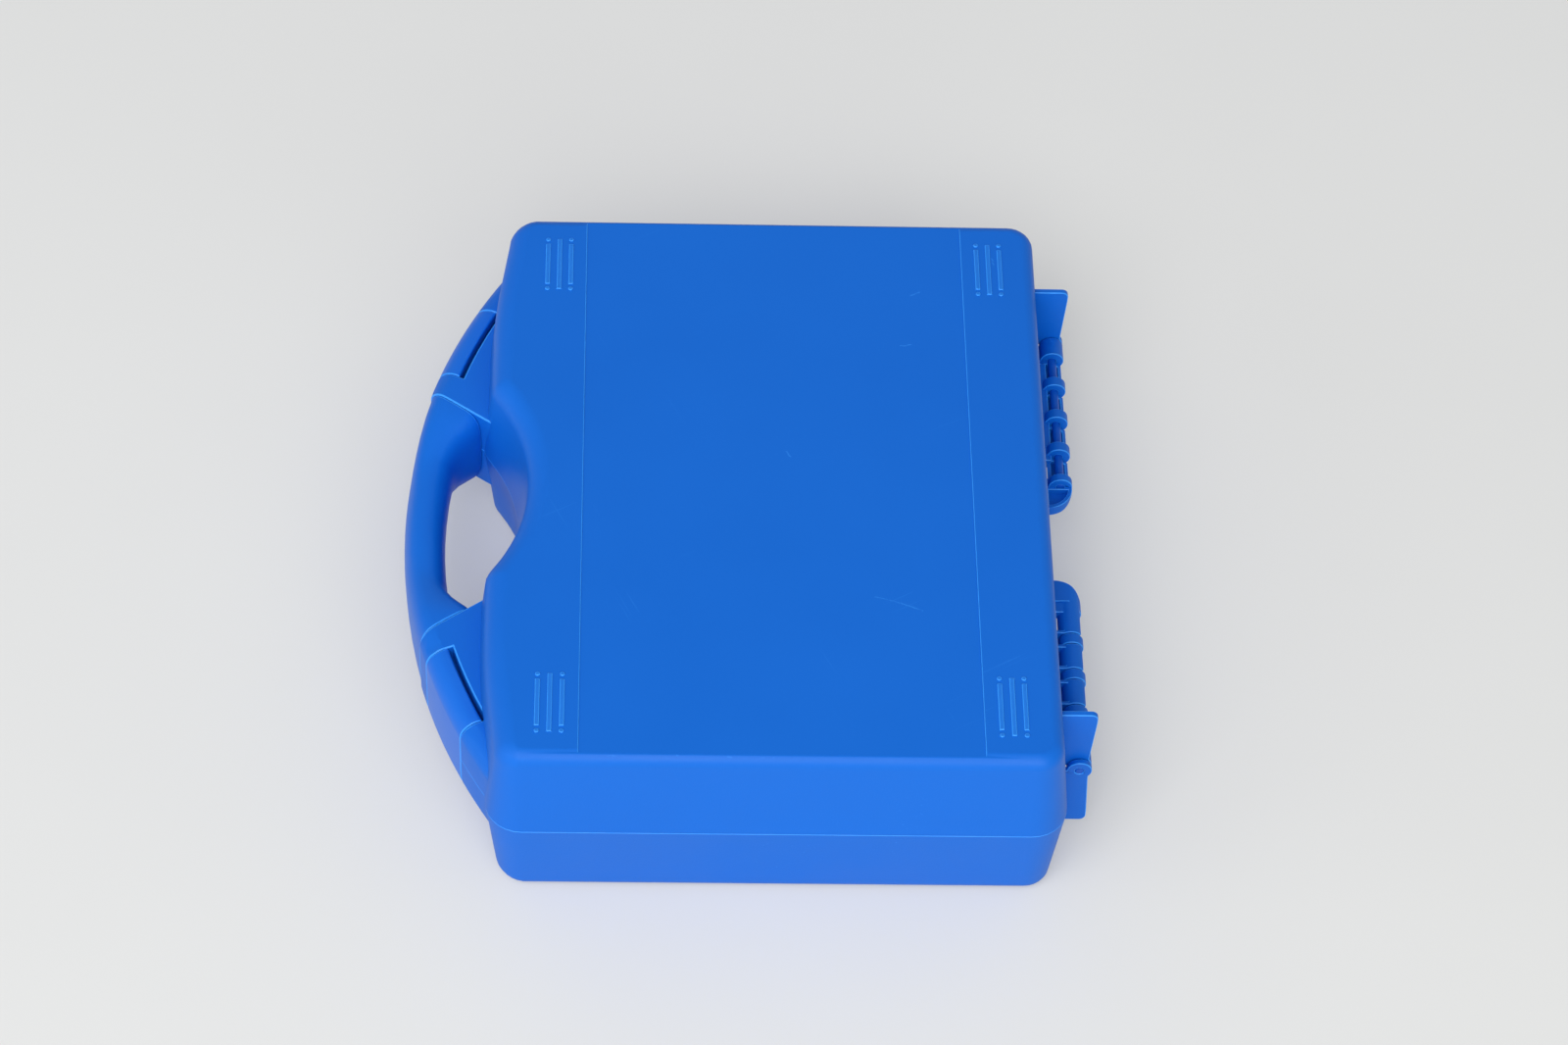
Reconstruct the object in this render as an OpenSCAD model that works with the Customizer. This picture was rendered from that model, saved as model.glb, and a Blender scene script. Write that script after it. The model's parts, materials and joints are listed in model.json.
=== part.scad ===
// Hard tool case: two moulded halves that turn on a pair of pin hinges, two clip latches that
// pivot in the bottom half and hook over the lid, and a separate carrying grip.
// X runs from the grip to the hinges, Y along the case, and Z is up with the case lying flat.
// The lid and the base have the same outline, one turned over about the X axis.

/* [Body] */
// Length of the case along the hinge side, at the closing line
body_l = 321; // [300:1:360]
// Width from the grip-side wall to the hinge-side wall, at the closing line
body_w = 250; // [240:1:290]
// Height of one half, without its feet
half_h = 47.2; // [45:0.2:60]
// Wall thickness of both halves
wall_t = 2.5; // [2:0.1:3.2]
// Corner radius in plan, at the closing line
corner_r = 16; // [14:0.5:20]
// Radius of the edge round each face
edge_r = 6; // [5:0.5:7]
// Radius of that edge on the grip side, where it is softer
grip_edge_r = 10; // [8:0.5:11]
// Draft of the walls, in degrees
draft_deg = 6; // [4:0.5:7]
// How far the grip-side wall bows out at its middle
bulge_d = 6; // [2:0.5:7]

/* [Finger recess] */
// Depth of the recess behind the grip, at the closing line
recess_d = 17.5; // [15:0.5:20]
// Radius at the bottom of the recess
recess_r = 83; // [78:1:100]
// Angle of its ends to the case's side, in degrees
recess_deg = 37; // [32:0.5:38]

/* [Face] */
// Width of the sunk panel in the middle of each face
panel_w = 172.8; // [150:0.2:176]
// Depth of the sunk panel
panel_d = 0.45; // [0.2:0.05:0.8]
// Height of the feet, which are small raised bars
foot_h = 0.5; // [0.3:0.1:1.5]
// Length of a group's middle bar
foot_l = 31; // [24:0.5:36]
// Width of one bar
foot_w = 2.2; // [1.6:0.1:2.8]
// Spacing of the bars in a group
foot_gap = 5.3; // [4.5:0.1:6]
// Distance of the groups from the middle of the case, along X
foot_x = 99; // [97:0.5:102]
// Distance of the groups from the middle of the case, along Y
foot_y = 126.2; // [110:0.2:128]

/* [Handle] */
// Reach of the grip beyond the middle of the case
grip_reach = 166.5; // [164:0.5:170]
// Radius of the handle's outer edge in plan
handle_r = 272; // [265:1:285]
// Height of the handle's shoulders above the closing line
shoulder_h = 22.5; // [21:0.5:26]
// Radius along the shoulders' outer edge
shoulder_r = 8.5; // [7:0.5:9.5]
// Width of the grip bar at its middle
grip_w = 18.2; // [15:0.2:20]
// Height of the grip bar at its middle
grip_h = 31; // [26:0.5:38]
// Half the gap between the shoulders, at the case wall
grip_l = 52.6; // [50:0.2:55]
// Slant of the shoulders' ends to the X axis, in degrees
end_deg = 35.5; // [30:0.5:38]
// Width of the tongues that hold the grip in the base's shoulders
tongue_w = 10; // [7:0.5:11]
// Thickness of those tongues
tongue_t = 7; // [4:0.5:9]
// Gap round the tongues and at the ends of the grip
grip_gap = 0.3; // [0.2:0.05:0.4]

/* [Latches] */
// Length of a latch
latch_l = 42; // [34:0.5:44]
// Turn of a latch round the handle's arc, from the middle of the grip, in degrees
latch_deg = 22.1; // [21.6:0.1:22.6]
// Width of the latch, from its hook to its outer face
latch_w = 10.4; // [9.8:0.1:11]
// Thickness of the latch wall
latch_t = 2.6; // [2.2:0.1:3]
// Width of the finger slot behind a latch
slot_w = 2.2; // [1.8:0.1:2.6]
// Depth to which the hook reaches below the edge that it catches
hook_d = 1.5; // [0.8:0.1:2]
// Thickness of the hook
hook_w = 2.4; // [1.8:0.1:2.8]
// Diameter of the latch pin
latch_pin_d = 3; // [2.4:0.1:3.4]
// Gap between a latch and its seat
latch_gap = 0.5; // [0.35:0.05:0.6]
// Gap at each end of a latch
latch_end_gap = 0.3; // [0.2:0.05:0.6]

/* [Hinges] */
// Distance of the hinge axis outside the hinge-side wall
hinge_out = 6.5; // [6.3:0.1:8]
// Outer radius of the hinge barrel
barrel_r = 5.5; // [5.1:0.1:5.8]
// Diameter of the hinge pin
pin_d = 4; // [3.2:0.1:4.4]
// Wall of the half-round covers over the pin
cover_t = 1.8; // [1.4:0.1:2.2]
// Length of one cover
cover_l = 13.4; // [12:0.2:14]
// Length of one ring
ring_l = 5.2; // [4.4:0.2:6]
// Distance of each hinge's inner end from the middle of the case
hinge_y = 23.2; // [18:0.2:28]
// Thickness of the fins
fin_t = 2.6; // [2:0.1:3.2]
// Height of the fins above the hinge axis
fin_h = 36; // [28:0.5:38]

/* [Fits] */
// Radial clearance of the pins in their bores
pin_clear = 0.05; // [0.02:0.01:0.1]
// Gap between hinge parts that slide past each other
side_gap = 0.6; // [0.4:0.05:0.8]
// Gap between the two halves along the closing line
close_gap = 0.1; // [0:0.05:0.3]

/* [Hidden] */
case_blue = [0.10, 0.40, 0.84];
pin_steel = [0.70, 0.71, 0.73];
eps = 0.01;
SIDES = [-1, 1];

// Levels and places that follow from the sizes above
half_x = body_w/2;
half_y = body_l/2;
close_z = half_h + foot_h;
rim_z = close_gap/2;
hinge_x = half_x + hinge_out;
fin_x = hinge_x + barrel_r;
frame_x = (grip_reach - fin_x)/2;

// ---- Outline of a half ------------------------------------------------------------------
// The grip-side wall is a shallow bow with the finger recess cut into it. Both are written as
// an X place for each Y, and a blend rounds the corners between them.
wall_x = half_x + 1.5;
bow_x = wall_x + bulge_d;
bow_end = half_y - corner_r - 4;
bow_flat = 0.56*bow_end;
blend_w = 3.5;
recess_cx = recess_d - bow_x - recess_r;
recess_arc_y = recess_r*sin(recess_deg);
recess_arc_x = recess_cx + recess_r*cos(recess_deg);
recess_y = recess_arc_y + (recess_arc_x + bow_x)/tan(recess_deg);
recess_zone = recess_y + 24;

function bow(y) =
    let (t = max(0, abs(y) - bow_flat)/(bow_end - bow_flat))
    -wall_x - bulge_d*max(0, 1 - t*t);
function dip(y) =
    abs(y) < recess_arc_y ? recess_cx + sqrt(recess_r*recess_r - y*y)
    : recess_arc_x - (abs(y) - recess_arc_y)*tan(recess_deg);
function smooth_max(a, b) =
    let (t = max(0, blend_w - abs(a - b))/blend_w)
    max(a, b) + t*t*blend_w/4;
function side_x(y) = smooth_max(bow(y), dip(y));
// 1 on the grip side and 0 on the others, turning from one to the other in the corners
function grip_share(p) =
    p[0] > 0 ? 0
    : abs(p[1]) < bow_end ? 1
    : min(1, max(0, (corner_r - wall_x - p[0])/corner_r));

corner_n = 7;
fine_n = 20;
coarse_n = 5;
function arc(cx, cy, r, a0) =
    [for (i = [0:corner_n]) let (a = a0 + 90*i/corner_n) [cx + r*cos(a), cy + r*sin(a)]];
side_half = concat(
    [for (i = [1:fine_n]) recess_zone*i/fine_n],
    [for (i = [1:coarse_n - 1]) recess_zone + (bow_end - recess_zone)*i/coarse_n]);
side_n = len(side_half);
outline = concat(
    arc(half_x - corner_r, half_y - corner_r, corner_r, 0),
    arc(corner_r - wall_x, half_y - corner_r, corner_r, 90),
    [for (i = [side_n - 1:-1:0]) [side_x(side_half[i]), side_half[i]]],
    [[side_x(0), 0]],
    [for (y = side_half) [side_x(y), -y]],
    arc(corner_r - wall_x, corner_r - half_y, corner_r, 180),
    arc(half_x - corner_r, corner_r - half_y, corner_r, 270));
outline_n = len(outline);

// Inward direction and edge radius at each point of the outline
function unit(v) = v/norm(v);
function turn_left(v) = [-v[1], v[0]];
inward = [for (i = [0:outline_n - 1])
    let (p = outline[i],
         before = outline[(i + outline_n - 1) % outline_n],
         after = outline[(i + 1) % outline_n])
    turn_left(unit(unit(p - before) + unit(after - p)))];
round_r = [for (p = outline) edge_r + grip_share(p)*(grip_edge_r - edge_r)];

// One ring of points. turn is -1 at the open rim, and runs from 0, where the edge starts to
// round, to 1 on the face. The skin lies inset from the outline, with its face at height h.
ring_turns = [-1, 0, 0.17, 0.34, 0.5, 0.67, 0.84, 1];
function ring(turn, inset, h, z_open) =
    [for (i = [0:outline_n - 1])
        let (r = max(0.5, round_r[i] - inset),
             a = max(0, turn)*90,
             z = turn < 0 ? z_open : h - r + r*sin(a),
             d = inset + tan(draft_deg)*min(z, h - r) + r*(1 - cos(a)),
             p = outline[i] + inward[i]*d)
        [p[0], p[1], z]];
// Closed skin over rings of n points each, which all turn left round the way they run
module loft(rings, n) {
    last = len(rings) - 1;
    sides = [for (j = [0:last - 1], i = [0:n - 1])
        let (a = j*n + i, b = j*n + (i + 1) % n)
        each [[a, a + n, b], [b, a + n, b + n]]];
    polyhedron([for (r = rings) each r],
        concat([[for (i = [0:n - 1]) i]], sides, [[for (i = [n - 1:-1:0]) last*n + i]]));
}
module skin(inset, h, z_open) {
    loft([for (turn = ring_turns) ring(turn, inset, h, z_open)], outline_n);
}

// ---- Handle shoulders -------------------------------------------------------------------
arc_cx = handle_r - grip_reach;
end_in = [1 - bow_x, grip_l];
end_dir = [-cos(end_deg), sin(end_deg)];
ring_depth = 60;
below = 1;

// Ring under the handle's outer edge, shrunk by inset on its outside and its top
module handle_ring(inset) {
    r = shoulder_r - inset;
    bend_x = handle_r - shoulder_r;
    bend_z = shoulder_h - shoulder_r;
    translate([arc_cx, 0, 0])
        rotate_extrude($fn = 360) {
            translate([handle_r - ring_depth, -below])
                square([ring_depth - shoulder_r, shoulder_h - inset + below]);
            translate([bend_x - eps, -below])
                square([r + eps, bend_z + below]);
            intersection() {
                translate([bend_x, bend_z])
                    circle(r, $fn = 48);
                translate([bend_x - eps, bend_z - eps])
                    square(shoulder_r + 1);
            }
        }
}
// Plan of the rear shoulder, whose end face is moved back by inset
module shoulder_plan(inset) {
    shift = [0, inset/cos(end_deg)];
    far = half_y - 3 - inset;
    p0 = end_in - 18*end_dir + shift;
    p1 = end_in + 50*end_dir + shift;
    polygon([p0, p1, [p1[0], far], [p0[0], far]]);
}
module shoulder_block(inset) {
    intersection() {
        handle_ring(inset);
        translate([0, 0, -below])
            linear_extrude(shoulder_h + 2*below)
                shoulder_plan(inset);
    }
}
// Both sides of the case, from what is drawn at its rear
module both_sides() {
    children();
    mirror([0, 1, 0])
        children();
}
// Only what lies above the closing line
module above_rim() {
    intersection() {
        children();
        translate([-2*body_w, -body_l, rim_z])
            cube([4*body_w, 2*body_l, 2*half_h]);
    }
}

// ---- Latches and their seats ------------------------------------------------------------
// A latch is drawn in its own frame: X is outward across it, Y along it and Z up from the
// closing line, with the origin in the middle of the finger slot. side is 1 at the rear.
hook_x = slot_w/2;
latch_out = hook_x + latch_w;
slot_r = handle_r - latch_out;
module at_latch(side) {
    translate([arc_cx, 0, 0])
        rotate([0, 0, 180 - side*latch_deg])
            translate([slot_r, 0, 0])
                children();
}
seat_z = shoulder_h - latch_t - latch_gap;
seat_x = latch_out - latch_t - latch_gap;
seat_r = shoulder_r - latch_t - latch_gap;
seat_l = latch_l + 2*latch_end_gap;
slot_d = 8;
lid_slot_x = hook_x + hook_w + latch_gap;
latch_pin_r = latch_pin_d/2;
pivot_r = latch_pin_r + 2;
pivot_x = pivot_r + latch_gap - hook_x;
pivot_z = shoulder_h - pivot_r;
latch_sag = slot_r - sqrt(slot_r*slot_r - seat_l*seat_l/4);
base_slot_x = pivot_x + pivot_r + latch_gap + latch_sag;
latch_pin_hold = 2;

// Carries a profile along the handle's arc for a length of l
module along_latch(l) {
    intersection() {
        translate([-slot_r, 0, 0])
            rotate_extrude($fn = 360)
                translate([slot_r, 0])
                    children();
        translate([-slot_w - wall_t - 2, -l/2, -half_h])
            cube([2*half_h, l, 2*half_h]);
    }
}
// Outline that is flat on its inner side, at x0, and rounded on its outer side
module wrap_outline(x0, x1, h, r) {
    translate([x0, -h])
        square([x1 - r - x0, 2*h]);
    translate([x0, r - h])
        square([x1 - x0, 2*(h - r)]);
    intersection() {
        for (s = SIDES)
            translate([x1 - r, s*(h - r)])
                circle(r, $fn = 48);
        translate([x1 - r - eps, -h])
            square([r + 1, 2*h]);
    }
}
// Room that a latch needs in a shoulder whose slot reaches out to slot_x, and grow more
module latch_room(slot_x, grow) {
    high = shoulder_h + below;
    along_latch(seat_l + 2*grow) {
        translate([-hook_x - grow, shoulder_h - slot_d - grow])
            square([slot_x + hook_x + 2*grow, slot_d + grow + below]);
        difference() {
            translate([slot_x, -below])
                square([2*latch_w, high + below]);
            wrap_outline(-latch_w, seat_x - grow, seat_z - grow, seat_r - grow);
        }
    }
}
module latch_pivot(r, l) {
    translate([pivot_x, 0, -pivot_z])
        rotate([90, 0, 0])
            cylinder(r = r, h = l, center = true, $fn = 48);
}
module latch(side) {
    color(case_blue)
        at_latch(side)
            difference() {
                union() {
                    along_latch(latch_l) {
                        difference() {
                            wrap_outline(hook_x, latch_out, shoulder_h, shoulder_r);
                            wrap_outline(0, latch_out - latch_t, shoulder_h - latch_t,
                                         shoulder_r - latch_t);
                            translate([0, -shoulder_h - 1])
                                square([pivot_x, shoulder_h]);
                        }
                        translate([hook_x, seat_z - hook_d])
                            square([hook_w, shoulder_h - latch_t - seat_z + hook_d + eps]);
                    }
                    latch_pivot(pivot_r, latch_l);
                }
                latch_pivot(latch_pin_r + pin_clear, body_l/2);
            }
}
module latch_pin(side) {
    color(pin_steel)
        at_latch(side)
            latch_pivot(latch_pin_r, seat_l + 2*latch_pin_hold);
}

// ---- Hinges -----------------------------------------------------------------------------
// Each half has a hinge of the cover kind in front and one of the ring kind at the rear, so
// that a half that is turned over meets its partner. Stations run along the case.
pin_r = pin_d/2;
bore_r = pin_r + pin_clear;
dome_l = fin_x - half_x;
rib_l = 4;
link_t = 1.6;
cover_0 = hinge_y + dome_l + rib_l;
ring_0 = cover_0 + cover_l + side_gap;
pitch = cover_l + ring_l + 2*side_gap;
hub_0 = cover_0 + 3*pitch + cover_l;
hub_l = 7.4;
fin_a = hub_0 + hub_l;
fin_b = fin_a + fin_t + side_gap;
wall_in = half_x - wall_t/2;
link_x = wall_in - hinge_x;
link_h = barrel_r - 0.8;
cover_deg = 33;

// Places a flat shape square to the hinge axis, from station y0 to y1
module hinge_slab(y0, y1) {
    translate([hinge_x, y1, 0])
        rotate([90, 0, 0])
            linear_extrude(y1 - y0)
                children();
}
module half_disc(r) {
    intersection() {
        circle(r, $fn = 48);
        translate([-2*r, 0])
            square([4*r, 2*r]);
    }
}
module wall_link(h) {
    translate([link_x, 0])
        square([-link_x, h]);
}
// The part of a cover that is left out, so that the lid can lie flat when it is open
module cover_mouth() {
    reach = 3*barrel_r;
    polygon([[0, 0], [reach*cos(cover_deg), reach*sin(cover_deg)], [reach, -1], [0, -1]]);
}
// Half-round cover over the pin, with a thin rib to the wall at each end
module cover(y0) {
    hinge_slab(y0, y0 + cover_l)
        difference() {
            half_disc(barrel_r);
            circle(barrel_r - cover_t, $fn = 48);
            cover_mouth();
        }
    for (y = [y0, y0 + cover_l - link_t])
        hinge_slab(y, y + link_t)
            difference() {
                union() {
                    half_disc(barrel_r);
                    wall_link(link_h);
                }
                cover_mouth();
            }
}
module knuckle(y0, y1, link) {
    hinge_slab(y0, y1) {
        circle(barrel_r, $fn = 48);
        wall_link(link);
    }
}
// Inner end of the cover kind: rounded in plan, hollow, and open at the closing line
module dome() {
    y1 = hinge_y + dome_l;
    intersection() {
        hinge_slab(hinge_y, y1) {
            half_disc(barrel_r);
            wall_link(barrel_r);
        }
        translate([half_x, y1, -below])
            cylinder(r = dome_l, h = 2*barrel_r, $fn = 72);
    }
}
module dome_hollow() {
    y1 = hinge_y + dome_l;
    r = barrel_r - cover_t;
    intersection() {
        hinge_slab(hinge_y, y1 - 1) {
            circle(r, $fn = 48);
            translate([half_x - hinge_x + 1, -r])
                square([hinge_out - 1, 2*r]);
        }
        translate([half_x, y1, -barrel_r])
            cylinder(r = dome_l - cover_t, h = 2*barrel_r, $fn = 72);
    }
}
// Flat fin that the case can stand on, narrower towards the barrel
module fin(y0) {
    tip_r = 3;
    waist = 1.4;
    root = link_x - fin_h*tan(draft_deg);
    hinge_slab(y0, y0 + fin_t) {
        difference() {
            polygon([[root, fin_h], [link_x, 0], [barrel_r - waist, 0],
                     [barrel_r - waist, barrel_r], [barrel_r, fin_h - 2*tip_r],
                     [barrel_r, fin_h]]);
            translate([barrel_r - tip_r, fin_h - tip_r])
                difference() {
                    square(tip_r + 1);
                    circle(tip_r, $fn = 40);
                }
        }
        circle(barrel_r, $fn = 48);
    }
}
module hinge_covers() {
    dome();
    knuckle(hinge_y + dome_l, cover_0, link_h);
    for (i = [0:3])
        cover(cover_0 + i*pitch);
    knuckle(hub_0, fin_a, link_h);
    fin(fin_a);
}
module hinge_rings() {
    for (i = [0:2])
        knuckle(ring_0 + i*pitch, ring_0 + i*pitch + ring_l, link_t);
    hinge_slab(ring_0 - 3, hub_0 - 3)
        translate([link_x, 0])
            square([-link_x - pin_r - 1.2, link_t]);
    fin(fin_b);
}
module hinge_bore() {
    hinge_slab(hinge_y + dome_l - 0.2, fin_b + fin_t + 1)
        circle(bore_r, $fn = 48);
}
module hinge_pin(side) {
    color(case_blue)
        mirror([0, side < 0 ? 1 : 0, 0])
            hinge_slab(hinge_y + dome_l, fin_b + fin_t)
                circle(pin_r, $fn = 48);
}

// ---- Grip -------------------------------------------------------------------------------
// Sections of the bar, from its middle to an end. Each runs from a point of the handle's
// outer arc to a point of the inner curve, which leaves the arc and flares to the shoulder.
grip_steps = 8;
flare = [[0.16, 0.28], [0.42, 0.56], [0.73, 0.78], [0.88, 0.89], [1, 1]];
flare_y = 0.68*grip_l;
inner_r = handle_r - grip_w;
tongue_z = 6 + tongue_t;
tongue_l = 6;
function on_arc(r, y) = [arc_cx - sqrt(r*r - y*y), y];
// Where the shoulder's end line, moved by grip_gap, meets the handle's outer arc
end_shift = [0, -grip_gap/cos(end_deg)];
end_start = end_in + end_shift - [arc_cx, 0];
end_b = end_start*end_dir;
end_reach = -end_b + sqrt(end_b*end_b - end_start*end_start + handle_r*handle_r);
grip_end_out = end_in + end_shift + end_reach*end_dir;
grip_end_in = end_in + end_shift + 2.4*end_dir;
flare_start = on_arc(inner_r, flare_y);
flare_run = grip_end_in - flare_start;
grip_inner = concat(
    [for (i = [0:3]) on_arc(inner_r, flare_y*i/3)],
    [for (f = flare) flare_start + [f[0]*flare_run[0], f[1]*flare_run[1]]]);
grip_outer = [for (i = [0:grip_steps])
    let (t = i/grip_steps)
    on_arc(handle_r, grip_end_out[1]*(0.92*t + 0.08*t*t*t))];
function smooth_step(t) = t*t*(3 - 2*t);
function section(outer, inner, t) =
    let (mid = (outer + inner)/2,
         half = (outer - inner)/2,
         grow = smooth_step(max(0, (t - 0.3)/0.7)),
         b = grip_h/2 + grow*(shoulder_h - 0.1 - grip_h/2),
         power = 2/(2.4 + 1.6*grow))
    [for (i = [0:section_n - 1])
        let (a = 360*i/section_n,
             u = sign(cos(a))*pow(abs(cos(a)), power),
             w = sign(sin(a))*pow(abs(sin(a)), power))
        [mid[0] + half[0]*u, mid[1] + half[1]*u, b*w]];
section_n = 32;
module grip_bar() {
    rear = [for (i = [0:grip_steps]) section(grip_outer[i], grip_inner[i], i/grip_steps)];
    front = [for (i = [grip_steps:-1:1]) [for (p = rear[i]) [p[0], -p[1], p[2]]]];
    loft(concat(front, rear), section_n);
}
// Tongue at the rear end of the grip, grown all round by grow to give its slot
module tongue(grow) {
    mid = end_in + 14*end_dir;
    sunk = 3;
    translate([mid[0], mid[1], -tongue_z])
        rotate([0, 0, -end_deg])
            translate([-tongue_w/2 - grow, -sunk, -grow])
                cube([tongue_w + 2*grow, tongue_l + sunk + grow, tongue_t + 2*grow]);
}
module grip() {
    color(case_blue) {
        grip_bar();
        both_sides()
            tongue(0);
    }
}

// ---- The two halves ---------------------------------------------------------------------
module feet() {
    h = foot_h + panel_d;
    side_l = 0.8*foot_l;
    dot_y = (foot_l - foot_w)*0.525;
    for (sx = SIDES, sy = SIDES)
        translate([sx*foot_x, sy*foot_y, half_h - panel_d])
            for (i = [-1, 0, 1]) {
                l = i == 0 ? foot_l : side_l;
                translate([i*foot_gap - foot_w/2, -l/2, 0])
                    cube([foot_w, l, h]);
                if (i != 0)
                    for (s = SIDES)
                        translate([i*foot_gap, s*dot_y, 0])
                            cylinder(d = foot_w, h = h, $fn = 24);
            }
}
module panel_cut() {
    translate([-panel_w/2, -half_y, half_h - panel_d])
        cube([panel_w, 2*half_y, foot_h + 1]);
}
// One half, standing on its closing line with its face up
module half(slot_x) {
    difference() {
        union() {
            skin(0, half_h, rim_z);
            above_rim()
                both_sides()
                    shoulder_block(0);
            feet();
            mirror([0, 1, 0])
                hinge_covers();
            hinge_rings();
        }
        skin(wall_t, half_h - wall_t, -below);
        panel_cut();
        both_sides()
            difference() {
                shoulder_block(wall_t);
                skin(0, half_h, -2*below);
                at_latch(1)
                    latch_room(slot_x, wall_t);
            }
        for (side = SIDES)
            at_latch(side)
                latch_room(slot_x, 0);
        mirror([0, 1, 0])
            dome_hollow();
        both_sides()
            hinge_bore();
    }
}
module lid_shell() {
    color(case_blue)
        half(lid_slot_x);
}
// The base also has the slots for the grip's tongues and the bores for the latch pins
module base_shell() {
    color(case_blue)
        difference() {
            rotate([180, 0, 0])
                half(base_slot_x);
            both_sides()
                tongue(grip_gap);
            for (side = SIDES)
                at_latch(side)
                    latch_pivot(latch_pin_r + pin_clear, seat_l + 2*latch_pin_hold + 0.4);
        }
}

// ---- The case, on its feet and centred under its outline --------------------------------
module placed() {
    translate([frame_x, 0, close_z])
        children();
}
placed() base_shell();
placed() lid_shell();
placed() grip();
placed() hinge_pin(-1);  // hinge_pin_front
placed() hinge_pin(1);  // hinge_pin_rear
placed() latch(-1);  // latch_front
placed() latch(1);  // latch_rear
placed() latch_pin(-1);  // latch_pin_front
placed() latch_pin(1);  // latch_pin_rear
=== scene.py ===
import json
import math

import bmesh
import bpy
from mathutils import Matrix, Vector

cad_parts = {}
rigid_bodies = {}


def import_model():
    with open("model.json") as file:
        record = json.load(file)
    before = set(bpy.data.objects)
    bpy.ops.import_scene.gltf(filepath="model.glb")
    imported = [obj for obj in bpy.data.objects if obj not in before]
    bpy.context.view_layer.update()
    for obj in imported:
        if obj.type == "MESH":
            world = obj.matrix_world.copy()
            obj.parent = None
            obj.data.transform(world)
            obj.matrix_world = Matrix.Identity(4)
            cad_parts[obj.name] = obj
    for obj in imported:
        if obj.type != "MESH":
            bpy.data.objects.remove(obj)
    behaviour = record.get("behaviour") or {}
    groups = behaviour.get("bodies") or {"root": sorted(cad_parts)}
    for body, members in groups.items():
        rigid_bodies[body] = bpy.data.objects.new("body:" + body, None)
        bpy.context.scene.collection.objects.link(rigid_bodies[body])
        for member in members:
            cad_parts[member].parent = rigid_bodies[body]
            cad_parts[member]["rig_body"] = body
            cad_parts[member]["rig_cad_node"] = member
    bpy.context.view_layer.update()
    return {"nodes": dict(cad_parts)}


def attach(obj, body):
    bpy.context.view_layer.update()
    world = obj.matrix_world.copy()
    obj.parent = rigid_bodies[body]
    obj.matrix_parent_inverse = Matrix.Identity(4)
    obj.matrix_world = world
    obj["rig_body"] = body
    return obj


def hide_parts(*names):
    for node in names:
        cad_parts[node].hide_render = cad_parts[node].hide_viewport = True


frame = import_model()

MM = 0.001

# ---- Camera -----------------------------------------------------------------------------
# A long lens looks down on the case from its front end, a little to the grip side, about a
# metre and a half above the floor.
camera_place = Vector((-0.05669, -1.29964, 1.65349))
camera_pan = -0.0578825
camera_tilt = 0.6860108
camera_roll = 0.0567497
camera_turn = (Matrix.Rotation(camera_pan, 4, "Z") @ Matrix.Rotation(camera_tilt, 4, "X")
               @ Matrix.Rotation(camera_roll, 4, "Z"))
camera_data = bpy.data.cameras.new("camera")
camera_data.lens = 105
camera_data.sensor_width = 36
camera_data.clip_end = 20
camera = bpy.data.objects.new("camera", camera_data)
camera.matrix_world = Matrix.Translation(camera_place) @ camera_turn
bpy.context.scene.collection.objects.link(camera)
bpy.context.scene.camera = camera


# ---- Floor and light --------------------------------------------------------------------
# The case lies on a plain painted board, almost white and a little uneven. Two large soft
# boxes light it from the front, and a weak one from the grip side, in a dim white room.
def add_node(tree, kind, inputs=None, **settings):
    """A new node with its settings made and its inputs joined or set."""
    made = tree.nodes.new(kind)
    for name, value in settings.items():
        setattr(made, name, value)
    for socket, value in (inputs or {}).items():
        if isinstance(value, bpy.types.NodeSocket):
            tree.links.new(value, made.inputs[socket])
        else:
            made.inputs[socket].default_value = value
    return made


def mix_colours(tree, share, first, second):
    """A colour between two, by the share of the second."""
    mixed = add_node(tree, "ShaderNodeMix", data_type="RGBA")
    for socket, value in ((0, share), (6, first), (7, second)):
        if isinstance(value, bpy.types.NodeSocket):
            tree.links.new(value, mixed.inputs[socket])
        else:
            mixed.inputs[socket].default_value = value
    return mixed.outputs[2]


def new_material(name, roughness, specular):
    """A new material, its tree and its shader."""
    material = bpy.data.materials.new(name)
    material.use_nodes = True
    shader = material.node_tree.nodes["Principled BSDF"]
    shader.inputs["Roughness"].default_value = roughness
    shader.inputs["Specular IOR Level"].default_value = specular
    return material, material.node_tree, shader


def soft_lamp(name, place, size, power, colour):
    """A square soft box that faces the case."""
    lamp = bpy.data.lights.new(name, "AREA")
    lamp.color = colour
    lamp.size = size
    lamp.energy = power
    lamp_object = bpy.data.objects.new(name, lamp)
    lamp_object.location = place
    lamp_object.rotation_mode = "QUATERNION"
    lamp_object.rotation_quaternion = (-Vector(place)).to_track_quat("-Z", "Y")
    bpy.context.scene.collection.objects.link(lamp_object)


bpy.context.scene.view_settings.view_transform = "Standard"
floor_size = 12
floor_drop = 0.2*MM
bpy.ops.object.select_all(action="DESELECT")
bpy.ops.mesh.primitive_plane_add(size=floor_size, location=(0, 0, -floor_drop))
floor = bpy.context.object
floor.name = "floor"
floor_paint, floor_tree, floor_shader = new_material("floor_paint", roughness=0.6,
                                                     specular=0.3)
paint_deep = (0.73, 0.73, 0.735, 1)
paint_light = (0.77, 0.77, 0.775, 1)
floor_place = add_node(floor_tree, "ShaderNodeTexCoord").outputs["Object"]
floor_mottle = add_node(floor_tree, "ShaderNodeTexNoise",
                        {"Vector": floor_place, "Scale": 5, "Detail": 3})
floor_colour = mix_colours(floor_tree, floor_mottle.outputs["Fac"], paint_deep, paint_light)
floor_tree.links.new(floor_colour, floor_shader.inputs["Base Color"])
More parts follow.
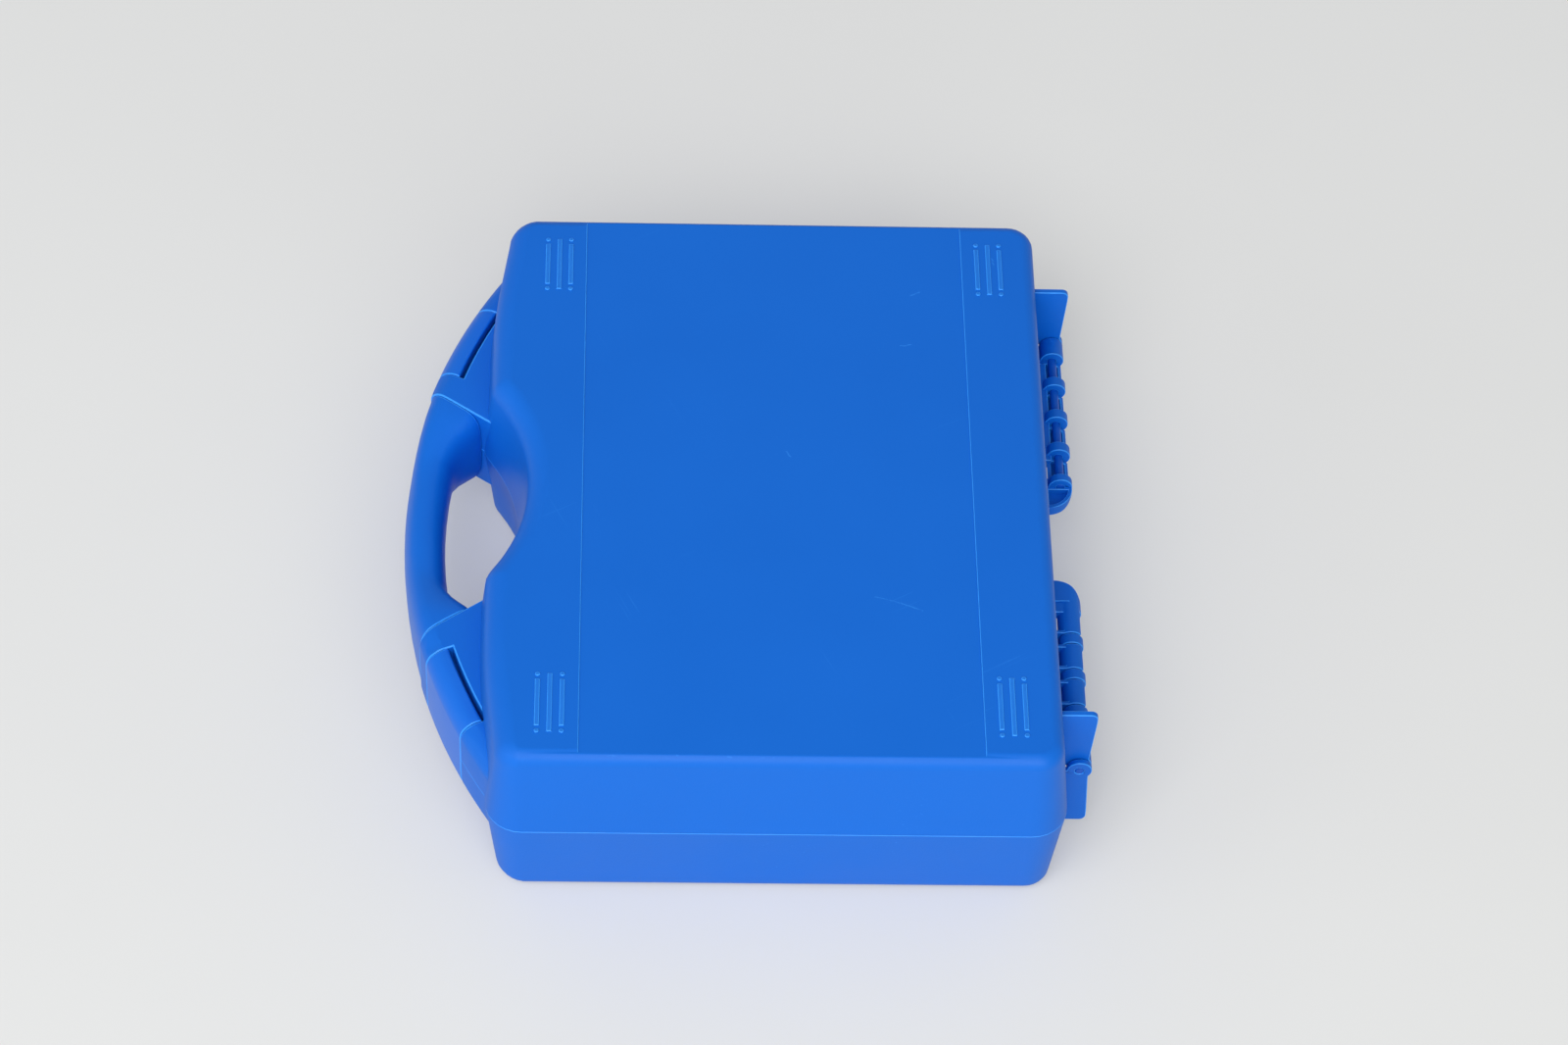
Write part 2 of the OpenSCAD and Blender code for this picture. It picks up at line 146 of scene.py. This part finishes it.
# Seen or mirrored, the board shows part of its own even white, so that its shadows are soft.
even_white = (0.77, 0.77, 0.77, 1)
even_share = 0.3
floor_rays = add_node(floor_tree, "ShaderNodeLightPath").outputs
floor_seen = floor_rays["Is Camera Ray"]
for ray in ("Is Glossy Ray", "Is Transmission Ray"):
    floor_seen = add_node(floor_tree, "ShaderNodeMath", {0: floor_seen, 1: floor_rays[ray]},
                          operation="MAXIMUM").outputs[0]
floor_share = add_node(floor_tree, "ShaderNodeMath", {0: floor_seen, 1: even_share},
                       operation="MULTIPLY").outputs[0]
floor_glow = add_node(floor_tree, "ShaderNodeEmission", {"Color": even_white})
floor_both = add_node(floor_tree, "ShaderNodeMixShader",
                      {0: floor_share, 1: floor_shader.outputs["BSDF"],
                       2: floor_glow.outputs["Emission"]})
floor_end = floor_tree.nodes["Material Output"]
floor_tree.links.new(floor_both.outputs["Shader"], floor_end.inputs["Surface"])
floor.data.materials.append(floor_paint)

soft_lamp("key_lamp", place=(-1.05, -2.4, 3.15), size=2.7, power=102, colour=(1.0, 1.0, 1.0))
soft_lamp("front_lamp", place=(0.75, -3.3, 1.95), size=2.7, power=57,
          colour=(0.98, 1.0, 0.86))
soft_lamp("side_lamp", place=(-3.2, -1.0, 1.1), size=2.0, power=19, colour=(0.94, 1.0, 1.0))
room = bpy.data.worlds.new("room")
room.use_nodes = True
bpy.context.scene.world = room
room_light = room.node_tree.nodes["Background"]
room_white = (0.97, 0.985, 1.0, 1)
room_strength = 0.42
room_light.inputs["Color"].default_value = room_white
room_light.inputs["Strength"].default_value = room_strength


# ---- Lid ---------------------------------------------------------------------------------
# The upper half of the case is one moulding of blue polypropylene, 2.5 mm thick, with its
# hinge parts, handle shoulders and foot bars moulded on. The mould was spark eroded, which
# leaves a fine grain, and the face has a few light marks from use.
CLOSING_Z = 47.7*MM
# Faces that meet at a wider angle than this have an edge between them.
CREASE = math.radians(32)
# A face whose points are further off its plane is bent, nearer points are joined, and faces
# that meet at less than the angle are made one.
BEND = 0.01*MM
WELD = 0.02*MM
FLAT = math.radians(0.6)
# The share of a face that one rounding may take: where another comes from the far side,
# where none does, and along a side edge, which counts if it turns away by this sine.
FACING_SHARE = 0.45
FREE_SHARE = 0.8
SIDE_SHARE = 0.85
SIDE_SINE = 0.25
# Points nearer to an edge than this many radii are overrun. Where edges run on in one line,
# to this cosine, the radius grows from one to the next by no more than this ratio.
OVERRUN = 1.4
IN_LINE = 0.8
GROWTH = 1.6
GROWTH_PASSES = 2


def is_flowing(vert):
    """True for a point inside a smooth face, with no crease through it."""
    return all(len(edge.link_faces) == 2 and edge.calc_face_angle() < CREASE/2
               for edge in vert.link_edges)


def is_bent(face):
    """True if some of a face's points are off its plane."""
    middle = face.calc_center_median()
    return max(abs((vert.co - middle).dot(face.normal)) for vert in face.verts) > BEND


def room_beside(edge, outer):
    """The widest radius that the two faces beside an edge have room for."""
    start = edge.verts[0].co
    along = (edge.verts[1].co - start).normalized()
    room = math.inf
    for face in edge.link_faces:
        depth = max((vert.co - start - along*(vert.co - start).dot(along)).length
                    for vert in face.verts)
        facing = any(other in outer and not set(other.verts) & set(edge.verts)
                     for other in face.edges)
        room = min(room, depth*(FACING_SHARE if facing else FREE_SHARE))
        for side in face.edges:
            if side is not edge and side not in outer and set(side.verts) & set(edge.verts):
                run = side.verts[1].co - side.verts[0].co
                away = run.cross(along).length
                if away > SIDE_SINE*run.length:
                    room = min(room, SIDE_SHARE*away)
    return room


def round_edges(piece, widest, segments, material_index, radius_at):
    """Rounds the outer edges of a piece by radius_at(middle of the edge), as far as the faces
    beside an edge have room. The new faces take the material of that index."""
    shape = bmesh.new()
    shape.from_mesh(piece.data)
    weight = (shape.edges.layers.float.get("bevel_weight_edge")
              or shape.edges.layers.float.new("bevel_weight_edge"))
    outer = {edge for edge in shape.edges
             if len(edge.link_faces) == 2 and edge.is_convex
             and edge.calc_face_angle() > CREASE
             and radius_at((edge.verts[0].co + edge.verts[1].co)/2) > 0}
    # A point that lies close beside such an edge would be overrun, so its faces are joined
    # and filled again without it.
    on_edge = {vert for edge in outer for vert in edge.verts}
    close = [vert for vert in shape.verts
             if vert not in on_edge and is_flowing(vert)
             and any(edge.other_vert(vert) in on_edge
                     and edge.calc_length() < OVERRUN*widest for edge in vert.link_edges)]
    bmesh.ops.dissolve_verts(shape, verts=close)
    shape.normal_update()
    bent = [face for face in shape.faces if len(face.verts) > 3 and is_bent(face)]
    bmesh.ops.triangulate(shape, faces=bent)
    shape.normal_update()
    outer = {edge for edge in shape.edges
             if len(edge.link_faces) == 2 and edge.is_convex
             and edge.calc_face_angle() > CREASE}
    radii = {edge: min(radius_at((edge.verts[0].co + edge.verts[1].co)/2),
                       room_beside(edge, outer)) for edge in outer}
    ahead = {edge: (edge.verts[1].co - edge.verts[0].co).normalized() for edge in outer}
    for _ in range(GROWTH_PASSES):
        radii = {edge: min([radius] + [GROWTH*radii[other] for vert in edge.verts
                                       for other in vert.link_edges if other in outer
                                       and abs(ahead[other].dot(ahead[edge])) > IN_LINE])
                 for edge, radius in radii.items()}
    for edge in shape.edges:
        edge[weight] = radii.get(edge, 0.0)/widest
    shape.to_mesh(piece.data)
    shape.free()
    bevel = piece.modifiers.new("edges", "BEVEL")
    bevel.width = widest
    bevel.segments = segments
    bevel.limit_method = "WEIGHT"
    bevel.material = material_index
    bevel.use_clamp_overlap = False
    bpy.ops.object.modifier_apply(modifier=bevel.name)


def moulding(node, name, materials, *roundings):
    """A copy of a CAD node with its outer edges rounded: each rounding is (widest radius,
    segments, material index, the radius at a place)."""
    bpy.ops.object.select_all(action="DESELECT")
    piece = frame["nodes"][node].copy()
    piece.data = piece.data.copy()
    piece.name = name
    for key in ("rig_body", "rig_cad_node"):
        if key in piece:
            del piece[key]
    piece.parent = None
    bpy.context.scene.collection.objects.link(piece)
    bpy.context.view_layer.objects.active = piece
    piece.select_set(True)
    bpy.ops.mesh.customdata_custom_splitnormals_clear()
    bpy.ops.object.mode_set(mode="EDIT")
    bpy.ops.mesh.select_all(action="SELECT")
    bpy.ops.mesh.remove_doubles(threshold=WELD)
    bpy.ops.mesh.dissolve_limited(angle_limit=FLAT)
    bpy.ops.object.mode_set(mode="OBJECT")
    piece.data.materials.clear()
    for material in materials:
        piece.data.materials.append(material)
    for face in piece.data.polygons:
        face.material_index = 0
    for rounding in roundings:
        round_edges(piece, *rounding)
    bpy.ops.object.shade_smooth_by_angle(angle=CREASE)
    weigh = piece.modifiers.new("normals", "WEIGHTED_NORMAL")
    weigh.keep_sharp = True
    bpy.ops.object.modifier_apply(modifier=weigh.name)
    return piece


def new_group(name, inputs, outputs):
    """A node group with its inputs by name and kind, its outputs by name, and its two ends."""
    tree = bpy.data.node_groups.new(name, "ShaderNodeTree")
    for socket, kind in inputs.items():
        tree.interface.new_socket(socket, in_out="INPUT", socket_type="NodeSocket" + kind)
    for socket in outputs:
        tree.interface.new_socket(socket, in_out="OUTPUT", socket_type="NodeSocketFloat")
    entry = add_node(tree, "NodeGroupInput").outputs
    result = add_node(tree, "NodeGroupOutput").inputs
    return tree, entry, result


# Spark-eroded grain: the height of its fine pits, and the slow drift in tone across a face.
grain_group, grain_in, grain_out = new_group(
    "spark_grain", {"Vector": "Vector", "Cells": "Float", "Patches": "Float"},
    ("Height", "Tone"))
grain_pits = add_node(grain_group, "ShaderNodeTexNoise",
                      {"Vector": grain_in["Vector"], "Scale": grain_in["Cells"], "Detail": 2,
                       "Roughness": 0.6})
grain_drift = add_node(grain_group, "ShaderNodeTexNoise",
                       {"Vector": grain_in["Vector"], "Scale": grain_in["Patches"],
                        "Detail": 3, "Roughness": 0.55})
grain_group.links.new(grain_pits.outputs["Fac"], grain_out["Height"])
grain_group.links.new(grain_drift.outputs["Fac"], grain_out["Tone"])

# Hairline scratches: a noise drawn out along one direction, cut to its peaks, in patches.
hairs_along = 14
hairs_across = 900
hair_least, hair_full = 0.72, 0.80
patch_least, patch_full = 0.58, 0.72
hair_group, hair_in, hair_out = new_group(
    "hairlines", {"Vector": "Vector", "Turn": "Vector", "Amount": "Float"}, ("Mask",))
hair_way = add_node(hair_group, "ShaderNodeMapping",
                    {"Vector": hair_in["Vector"], "Rotation": hair_in["Turn"],
                     "Scale": (1/hairs_along, 1/hairs_across, 1/hairs_across)},
                    vector_type="TEXTURE")
hair_lines = add_node(hair_group, "ShaderNodeTexNoise",
                      {"Vector": hair_way.outputs["Vector"], "Scale": 1, "Detail": 1})
hair_cut = add_node(hair_group, "ShaderNodeMapRange",
                    {"Value": hair_lines.outputs["Fac"], "From Min": hair_least,
                     "From Max": hair_full})
hair_patch = add_node(hair_group, "ShaderNodeTexNoise",
                      {"Vector": hair_in["Vector"], "Scale": 24, "Detail": 1})
hair_where = add_node(hair_group, "ShaderNodeMapRange",
                      {"Value": hair_patch.outputs["Fac"], "From Min": patch_least,
                       "From Max": patch_full})
hair_both = add_node(hair_group, "ShaderNodeMath",
                     {0: hair_cut.outputs["Result"], 1: hair_where.outputs["Result"]},
                     operation="MULTIPLY")
hair_mask = add_node(hair_group, "ShaderNodeMath",
                     {0: hair_both.outputs[0], 1: hair_in["Amount"]}, operation="MULTIPLY",
                     use_clamp=True)
hair_group.links.new(hair_mask.outputs[0], hair_out["Mask"])

# One nick or rub: 1 on the line between two points, fading to 0 at its half width.
nick_group, nick_in, nick_out = new_group(
    "nick", {"Vector": "Vector", "Start": "Vector", "End": "Vector", "Width": "Float"},
    ("Mask",))
nick_run = add_node(nick_group, "ShaderNodeVectorMath",
                    {0: nick_in["End"], 1: nick_in["Start"]}, operation="SUBTRACT")
nick_from = add_node(nick_group, "ShaderNodeVectorMath",
                     {0: nick_in["Vector"], 1: nick_in["Start"]}, operation="SUBTRACT")
nick_along = add_node(nick_group, "ShaderNodeVectorMath",
                      {0: nick_from.outputs["Vector"], 1: nick_run.outputs["Vector"]},
                      operation="DOT_PRODUCT")
nick_square = add_node(nick_group, "ShaderNodeVectorMath",
                       {0: nick_run.outputs["Vector"], 1: nick_run.outputs["Vector"]},
                       operation="DOT_PRODUCT")
nick_share = add_node(nick_group, "ShaderNodeMath",
                      {0: nick_along.outputs["Value"], 1: nick_square.outputs["Value"]},
                      operation="DIVIDE", use_clamp=True)
nick_foot = add_node(nick_group, "ShaderNodeVectorMath",
                     {0: nick_run.outputs["Vector"], "Scale": nick_share.outputs[0]},
                     operation="SCALE")
nick_off = add_node(nick_group, "ShaderNodeVectorMath",
                    {0: nick_from.outputs["Vector"], 1: nick_foot.outputs["Vector"]},
                    operation="DISTANCE")
nick_fade = add_node(nick_group, "ShaderNodeMapRange",
                     {"Value": nick_off.outputs["Value"], "From Min": nick_in["Width"],
                      "From Max": 0.0})
nick_group.links.new(nick_fade.outputs["Result"], nick_out["Mask"])


def place_group(tree, group, inputs):
    """Puts a group into a material and joins or sets its inputs."""
    made = tree.nodes.new("ShaderNodeGroup")
    made.node_tree = group
    for socket, value in inputs.items():
        if isinstance(value, bpy.types.NodeSocket):
            tree.links.new(value, made.inputs[socket])
        else:
            made.inputs[socket].default_value = value
    return made.outputs


def strongest(tree, masks):
    """The larger of several masks at each point."""
    top = masks[0]
    for mask in masks[1:]:
        top = add_node(tree, "ShaderNodeMath", {0: top, 1: mask},
                       operation="MAXIMUM").outputs[0]
    return top


# The two ways that hairlines run, the drift in tone with the waves that go with it, how far
# a mark wavers from its line, and how deep it is cut.
HAIR_TURNS = (0.5, -1.1)
TONE_PATCHES = 11
TONE_LOW, TONE_HIGH = 0.35, 0.65
TONE_DEPTH = 0.25*MM
WAVER_SCALE = 420
WAVER = 1.6*MM
CUT_DEPTH = 0.04*MM
# The foot bars rise from the face between these heights from the closing line, and towards
# their tops they are painted lighter, by up to the share below: a painted highlight.
BAR_FOOT = 47.25*MM
BAR_TOP = 47.5*MM
BAR_HIGHLIGHT = 0.32


def blue_plastic(name, deep, light, worn_and_highlight, cells, pit_depth, hair_amount, marks=(),
                 foot_bars=False, roughness=(0.40, 0.52), specular=0.22):
    """Satin blue polypropylene: grain, a slow drift from deep to light, hairlines in the
    lighter rubbed tone, and marks given as (start, end, half width, strength) in millimetres.
    With foot bars, their tops are painted towards that lighter tone too, as a painted
    highlight."""
    material, tree, shader = new_material(name, roughness[0], specular)
    place = add_node(tree, "ShaderNodeTexCoord").outputs["Object"]
    grain = place_group(tree, grain_group, {"Vector": place, "Cells": cells,
                                            "Patches": TONE_PATCHES})
    body = mix_colours(tree, grain["Tone"], deep, light)
    masks = [place_group(tree, hair_group, {"Vector": place, "Turn": (0, 0, turn),
                                            "Amount": hair_amount})["Mask"]
             for turn in HAIR_TURNS]
    if marks:
        waver = add_node(tree, "ShaderNodeTexNoise",
                         {"Vector": place, "Scale": WAVER_SCALE, "Detail": 2})
        centred = add_node(tree, "ShaderNodeVectorMath",
                           {0: waver.outputs["Color"], 1: (0.5, 0.5, 0.5)},
                           operation="SUBTRACT")
        shaken = add_node(tree, "ShaderNodeVectorMath",
                          {0: centred.outputs["Vector"], 1: (WAVER, WAVER, WAVER),
                           2: place}, operation="MULTIPLY_ADD").outputs["Vector"]
        for start, end, half_width, strength in marks:
            nick = place_group(tree, nick_group,
                               {"Vector": shaken, "Start": [c*MM for c in start],
                                "End": [c*MM for c in end], "Width": half_width*MM})
            masks.append(add_node(tree, "ShaderNodeMath", {0: nick["Mask"], 1: strength},
                                  operation="MULTIPLY").outputs[0])
    marked = strongest(tree, masks)
    wear_and_bar_highlight = marked
    # The foot bars' tops are painted towards the lighter tone, a painted highlight on top of
    # the rubs and nicks.
    if foot_bars:
        height = add_node(tree, "ShaderNodeSeparateXYZ", {0: place}).outputs["Z"]
        from_middle = add_node(tree, "ShaderNodeMath", {0: height, 1: CLOSING_Z},
                               operation="SUBTRACT")
        reach = add_node(tree, "ShaderNodeMath", {0: from_middle.outputs[0]},
                         operation="ABSOLUTE")
        bar_top_highlight = add_node(tree, "ShaderNodeMapRange",
                          {"Value": reach.outputs[0], "From Min": BAR_FOOT,
                           "From Max": BAR_TOP, "To Max": BAR_HIGHLIGHT})
        wear_and_bar_highlight = strongest(tree, [marked, bar_top_highlight.outputs["Result"]])
    tree.links.new(mix_colours(tree, wear_and_bar_highlight, body, worn_and_highlight), shader.inputs["Base Color"])
    gloss = add_node(tree, "ShaderNodeMapRange",
                     {"Value": grain["Tone"], "From Min": TONE_LOW, "From Max": TONE_HIGH,
                      "To Min": roughness[0], "To Max": roughness[1]})
    tree.links.new(gloss.outputs["Result"], shader.inputs["Roughness"])
    pits = add_node(tree, "ShaderNodeBump",
                    {"Strength": 0.6, "Distance": pit_depth, "Height": grain["Height"]})
    drift = add_node(tree, "ShaderNodeBump",
                     {"Strength": 0.5, "Distance": TONE_DEPTH, "Height": grain["Tone"],
                      "Normal": pits.outputs["Normal"]})
    cuts = add_node(tree, "ShaderNodeBump",
                    {"Strength": 0.5, "Distance": CUT_DEPTH, "Height": marked,
                     "Normal": drift.outputs["Normal"]}, invert=True)
    tree.links.new(cuts.outputs["Normal"], shader.inputs["Normal"])
    return material


case_deep = (0.0020, 0.124, 0.60, 1)
case_light = (0.0028, 0.138, 0.65, 1)
case_worn_and_highlight = (0.030, 0.26, 0.85, 1)
# The faces of the edge roundings are painted a lighter, glossier blue: a painted highlight
# along every rounded edge.
edge_highlight_deep = (0.020, 0.26, 0.86, 1)
edge_highlight_light = (0.032, 0.31, 0.92, 1)
# Rubs and nicks on the lid's face and along its front edge: start, end, half width, strength.
face_z = 94.5
lid_marks = [
    ((71.7, 79.2, face_z), (76.7, 79.9, face_z), 0.50, 0.80),
    ((77.2, 109.9, face_z), (81.3, 112.4, face_z), 0.45, 0.65),
    ((56.2, -66.6, face_z), (66.0, -69.4, face_z), 0.40, 0.50),
    ((66.0, -69.4, face_z), (76.9, -73.9, face_z), 0.40, 0.65),
    ((18.6, 15.3, face_z), (20.7, 12.5, face_z), 0.45, 0.60),
    ((115.6, 133.3, face_z + 0.4), (116.4, 129.0, face_z + 0.4), 0.40, 0.75),
    ((-8.7, -153.6, 94.3), (1.2, -154.4, 94.2), 0.60, 0.70),
    ((5.0, -153.8, 94.3), (15.0, -154.0, 94.3), 0.55, 0.65),
    ((-30.0, -153.2, 94.4), (-21.0, -154.2, 94.3), 0.50, 0.60),
    ((-62.0, -153.4, 94.4), (-55.0, -153.9, 94.3), 0.45, 0.50),
    ((38.0, -153.5, 94.4), (52.0, -153.9, 94.3), 0.45, 0.55)]
lid_plastic = blue_plastic("lid_plastic", case_deep, case_light, case_worn_and_highlight, cells=1200,
                           pit_depth=0.08*MM, hair_amount=0.35, marks=lid_marks,
                           foot_bars=True)
edge_highlight_plastic = blue_plastic("edge_highlight_plastic", edge_highlight_deep, edge_highlight_light, case_worn_and_highlight, cells=1500,
                            pit_depth=0.01*MM, hair_amount=0.2, roughness=(0.32, 0.42),
                            specular=0.4)
# Which of a piece's materials the new faces of a rounding take, and in how many steps. The
# second is a lighter blue, a painted highlight along the rounded edges.
SAME_TONE = 0
EDGE_HIGHLIGHT = 1
EDGE_STEPS = 3
# Shoulders are further out than this, and their edges rounder than the other edges.
SHOULDER_X = -112*MM
SHOULDER_ROUND = 0.7*MM
OTHER_ROUND = 0.4*MM
ON_LINE = 0.3*MM
lid_rim = 0.12*MM


def half_radius(rim_radius):
    """The radius of a half's outer edges: rim_radius at the closing line, wide on the ends of
    the shoulders, which are outside the grip-side wall, and small on the hinge parts."""
    def radius_at(middle):
        if abs(middle.z - CLOSING_Z) < ON_LINE:
            return rim_radius
        return SHOULDER_ROUND if middle.x < SHOULDER_X else OTHER_ROUND
    return radius_at


lid = moulding("lid_shell", "lid_moulding", (lid_plastic, edge_highlight_plastic),
               (SHOULDER_ROUND, EDGE_STEPS, EDGE_HIGHLIGHT, half_radius(lid_rim)))
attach(lid, "lid")
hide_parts("lid_shell")

# ---- Base --------------------------------------------------------------------------------
# The lower half is the same moulding turned over, with seats for the latches in its
# shoulders. It is a little more rubbed than the lid, because the case is set down on it.
base_plastic = blue_plastic("base_plastic", case_deep, case_light, case_worn_and_highlight, cells=1200,
                            pit_depth=0.08*MM, hair_amount=0.6, foot_bars=True)
base_rim = 0.3*MM
base = moulding("base_shell", "base_moulding", (base_plastic, edge_highlight_plastic),
                (SHOULDER_ROUND, EDGE_STEPS, EDGE_HIGHLIGHT, half_radius(base_rim)))
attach(base, "base")
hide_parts("base_shell")

# ---- Grip --------------------------------------------------------------------------------
# The carrying grip is a separate moulding in the same plastic, smooth from handling. A tongue
# at each end is caught in the base's shoulders.
grip_plastic = blue_plastic("grip_plastic", case_deep, case_light, case_worn_and_highlight, cells=2100,
                            pit_depth=0.03*MM, hair_amount=0.4, roughness=(0.36, 0.46))
grip_round = 0.6*MM
grip = moulding("grip", "grip_moulding", (grip_plastic, edge_highlight_plastic),
                (grip_round, EDGE_STEPS, EDGE_HIGHLIGHT, lambda middle: grip_round))
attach(grip, "base")
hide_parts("grip")

# ---- Latches -----------------------------------------------------------------------------
# Each clip latch is a curved moulding that turns on a pin in the base and hooks over the
# lid's edge. Its outer face is polished, so it is glossier than the case.
latch_deep = (0.0030, 0.13, 0.64, 1)
latch_light = (0.0040, 0.145, 0.69, 1)
latch_plastic = blue_plastic("latch_plastic", latch_deep, latch_light, case_worn_and_highlight, cells=2400,
                             pit_depth=0.015*MM, hair_amount=0.4, roughness=(0.34, 0.42),
                             specular=0.28)
# The middle of the arc that the latches follow, their inner radius, and their top.
ARC_X = 120.25*MM
LIP_R = 261.6*MM
LATCH_TOP = 70.2*MM
lip_round = 1.9*MM
lip_steps = 5
latch_round = 0.5*MM


def lip_radius(middle):
    """The latch's top rolls down into the finger slot along its inner edge."""
    from_arc = math.hypot(middle.x - ARC_X, middle.y) - LIP_R
    on_lip = abs(from_arc) < ON_LINE and middle.z > LATCH_TOP - ON_LINE
    return lip_round if on_lip else 0.0


for side in ("front", "rear"):
    latch = moulding("latch_" + side, "latch_" + side + "_moulding",
                     (latch_plastic, edge_highlight_plastic),
                     (lip_round, lip_steps, SAME_TONE, lip_radius),
                     (latch_round, EDGE_STEPS, EDGE_HIGHLIGHT, lambda middle: latch_round))
    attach(latch, side + "_latch")
    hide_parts("latch_" + side)

# ---- Latch pins --------------------------------------------------------------------------
# Bright drawn steel rods of 3 mm, pushed through the base's shoulders. Drawing leaves fine
# lines along them, and their ends are chamfered.
pin_steel, steel_tree, steel_shader = new_material("pin_steel", roughness=0.3, specular=0.5)
steel_shader.inputs["Metallic"].default_value = 1.0
steel_place = add_node(steel_tree, "ShaderNodeTexCoord").outputs["Object"]
steel_lines = add_node(steel_tree, "ShaderNodeTexNoise",
                       {"Vector": steel_place, "Scale": 3000, "Detail": 2})
steel_deep = (0.50, 0.51, 0.53, 1)
steel_light = (0.62, 0.63, 0.65, 1)
steel_colour = mix_colours(steel_tree, steel_lines.outputs["Fac"], steel_deep, steel_light)
steel_tree.links.new(steel_colour, steel_shader.inputs["Base Color"])
steel_gloss = add_node(steel_tree, "ShaderNodeMapRange",
                       {"Value": steel_lines.outputs["Fac"], "To Min": 0.22,
                        "To Max": 0.4})
steel_tree.links.new(steel_gloss.outputs["Result"], steel_shader.inputs["Roughness"])
pin_round = 0.3*MM
pin_steps = 2
for side in ("front", "rear"):
    pin = moulding("latch_pin_" + side, "latch_pin_" + side + "_rod", (pin_steel,),
                   (pin_round, pin_steps, SAME_TONE, lambda middle: pin_round))
    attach(pin, "base")
    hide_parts("latch_pin_" + side)

# ---- Hinge pins --------------------------------------------------------------------------
# Plain 4 mm rods of the same blue plastic, cut from bar and a little darker, that run through
# the hinge rings of both halves.
rod_deep = (0.0020, 0.085, 0.50, 1)
rod_light = (0.0025, 0.10, 0.56, 1)
rod_plastic = blue_plastic("rod_plastic", rod_deep, rod_light, case_worn_and_highlight, cells=2600,
                           pit_depth=0.01*MM, hair_amount=0.2, roughness=(0.30, 0.40))
rod_round = 0.5*MM
for side in ("front", "rear"):
    rod = moulding("hinge_pin_" + side, "hinge_pin_" + side + "_rod", (rod_plastic,),
                   (rod_round, EDGE_STEPS, SAME_TONE, lambda middle: rod_round))
    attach(rod, "base")
    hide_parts("hinge_pin_" + side)
